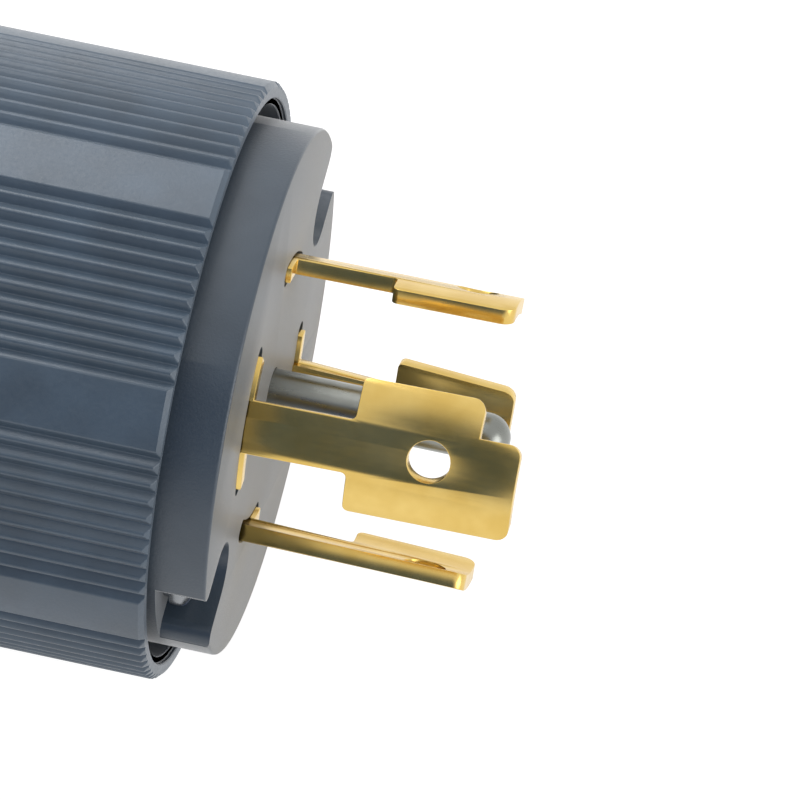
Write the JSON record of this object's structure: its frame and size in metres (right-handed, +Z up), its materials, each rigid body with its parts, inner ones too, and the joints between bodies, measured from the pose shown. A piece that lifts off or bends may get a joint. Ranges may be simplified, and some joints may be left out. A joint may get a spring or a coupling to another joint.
{
  "type": "rewirable locking plug",
  "caption": "Round ribbed locking plug with curved brass blades round a centre pin, a blade carrier, wire terminals inside and a two-jaw cord clamp behind.",
  "frame": {"origin": "on the plug's axis, at the front face of the blade carrier", "axes": "+X along the axis, the way the blades point; +Z up, away from the flat that the plug lies on"},
  "size_m": [0.1044, 0.0568, 0.0554],
  "materials": {
    "sleeve_nylon": "moulded, fine satin",
    "carrier_nylon": "moulded, fine grain",
    "block_nylon": "moulded",
    "blade_brass": "stamped, bright",
    "pin_steel": "turned",
    "screw_steel": "zinc plated",
    "seal_rubber": "moulded"
  },
  "bodies": {
    "plug": {"blade_carrier": "carrier_nylon", "ribbed_shell": "sleeve_nylon", "terminal_block": "block_nylon", "rear_cover": "sleeve_nylon", "flange_gasket": "seal_rubber", "wide_blade": "blade_brass", "line_blade_1": "blade_brass", "line_blade_2": "blade_brass", "line_blade_3": "blade_brass", "ground_pin": "pin_steel", "ground_strap": "blade_brass", "assembly_screws": "screw_steel", "threaded_inserts": "blade_brass", "cord_grommet": "seal_rubber", "grommet_ring": "carrier_nylon", "clamp_nuts": "screw_steel"},
    "clamp_saddle": {"clamp_saddle": "sleeve_nylon"},
    "clamp_screw_1": {"clamp_screw_1": "screw_steel"},
    "clamp_screw_2": {"clamp_screw_2": "screw_steel"},
    "terminal_clamp_1": {"terminal_clamp_1": "screw_steel"},
    "terminal_screw_1": {"terminal_screw_1": "screw_steel"},
    "terminal_clamp_2": {"terminal_clamp_2": "screw_steel"},
    "terminal_screw_2": {"terminal_screw_2": "screw_steel"},
    "terminal_clamp_3": {"terminal_clamp_3": "screw_steel"},
    "terminal_screw_3": {"terminal_screw_3": "screw_steel"},
    "terminal_clamp_4": {"terminal_clamp_4": "screw_steel"},
    "terminal_screw_4": {"terminal_screw_4": "screw_steel"},
    "terminal_clamp_5": {"terminal_clamp_5": "screw_steel"},
    "terminal_screw_5": {"terminal_screw_5": "screw_steel"}
  },
  "joints": [
    {"name": "saddle_slide", "type": "slide", "parent": "plug", "child": "clamp_saddle", "axis": [0, 0, 1], "range_m": [-0.0013, 0.003]},
    {"name": "clamp_screw_1_turn", "type": "hinge", "parent": "clamp_saddle", "child": "clamp_screw_1", "pos_m": [-0.0725, 0.0165, 0], "axis": [0, 0, 1], "range_deg": [-669, 1543]},
    {"name": "clamp_screw_2_turn", "type": "hinge", "parent": "clamp_saddle", "child": "clamp_screw_2", "pos_m": [-0.0725, -0.0165, 0], "axis": [0, 0, 1], "range_deg": [-669, 1543]},
    {"name": "terminal_clamp_1_slide", "type": "slide", "parent": "plug", "child": "terminal_clamp_1", "axis": [0, 0.766, -0.6428], "range_m": [0, 0.0025]},
    {"name": "terminal_screw_1_turn", "type": "hinge", "parent": "terminal_clamp_1", "child": "terminal_screw_1", "pos_m": [-0.0242, -0.01149, 0.00964], "axis": [0, 0.766, -0.6428], "range_deg": [0, 1134]},
    {"name": "terminal_clamp_2_slide", "type": "slide", "parent": "plug", "child": "terminal_clamp_2", "axis": [0, -0.6428, -0.766], "range_m": [0, 0.0025]},
    {"name": "terminal_screw_2_turn", "type": "hinge", "parent": "terminal_clamp_2", "child": "terminal_screw_2", "pos_m": [-0.0242, 0.00964, 0.01149], "axis": [0, -0.6428, -0.766], "range_deg": [0, 1134]},
    {"name": "terminal_clamp_3_slide", "type": "slide", "parent": "plug", "child": "terminal_clamp_3", "axis": [0, 0.6428, 0.766], "range_m": [0, 0.0025]},
    {"name": "terminal_screw_3_turn", "type": "hinge", "parent": "terminal_clamp_3", "child": "terminal_screw_3", "pos_m": [-0.0242, -0.00964, -0.01149], "axis": [0, 0.6428, 0.766], "range_deg": [0, 1134]},
    {"name": "terminal_clamp_4_slide", "type": "slide", "parent": "plug", "child": "terminal_clamp_4", "axis": [0, -0.766, 0.6428], "range_m": [0, 0.0025]},
    {"name": "terminal_screw_4_turn", "type": "hinge", "parent": "terminal_clamp_4", "child": "terminal_screw_4", "pos_m": [-0.0242, 0.01149, -0.00964], "axis": [0, -0.766, 0.6428], "range_deg": [0, 1134]},
    {"name": "terminal_clamp_5_slide", "type": "slide", "parent": "plug", "child": "terminal_clamp_5", "axis": [0, 0.0872, -0.9962], "range_m": [0, 0.0025]},
    {"name": "terminal_screw_5_turn", "type": "hinge", "parent": "terminal_clamp_5", "child": "terminal_screw_5", "pos_m": [-0.0242, -0.00131, 0.01494], "axis": [0, 0.0872, -0.9962], "range_deg": [0, 1134]}
  ],
  "couplings": [
    {"joint": "clamp_screw_1_turn", "follows": "saddle_slide", "rad_per_m": 8976},
    {"joint": "clamp_screw_2_turn", "follows": "saddle_slide", "rad_per_m": 8976},
    {"joint": "terminal_screw_1_turn", "follows": "terminal_clamp_1_slide", "rad_per_m": 7913.3},
    {"joint": "terminal_screw_2_turn", "follows": "terminal_clamp_2_slide", "rad_per_m": 7913.3},
    {"joint": "terminal_screw_3_turn", "follows": "terminal_clamp_3_slide", "rad_per_m": 7913.3},
    {"joint": "terminal_screw_4_turn", "follows": "terminal_clamp_4_slide", "rad_per_m": 7913.3},
    {"joint": "terminal_screw_5_turn", "follows": "terminal_clamp_5_slide", "rad_per_m": 7913.3}
  ]
}
